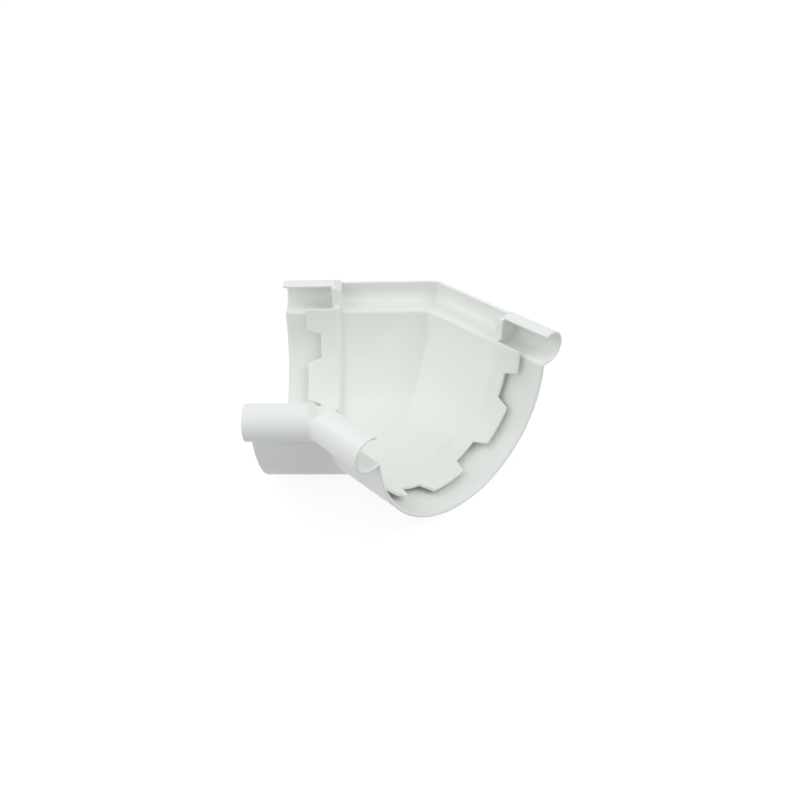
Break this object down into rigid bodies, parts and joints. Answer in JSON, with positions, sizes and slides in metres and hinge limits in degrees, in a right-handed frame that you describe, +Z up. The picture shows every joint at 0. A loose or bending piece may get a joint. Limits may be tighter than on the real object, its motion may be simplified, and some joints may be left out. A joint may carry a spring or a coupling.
{
  "type": "gutter external angle",
  "caption": "Moulded plastic corner fitting that carries half-round guttering around a 135 degree corner, with push-in sockets, castellated tongues and bead hooks.",
  "frame": {"origin": "under the middle of the bounding box, level with the underside of the half-round", "axes": "+Z up out of the open top; X = 0 is the mitre plane, with one arm on each side; +Y toward the outside of the bend, so the arms turn toward -Y"},
  "size_m": [0.1786, 0.178, 0.0805],
  "materials": {
    "white_pvc": "satin, lightly glossy"
  },
  "bodies": {
    "root": {"gutter_angle": "white_pvc"}
  },
  "joints": []
}
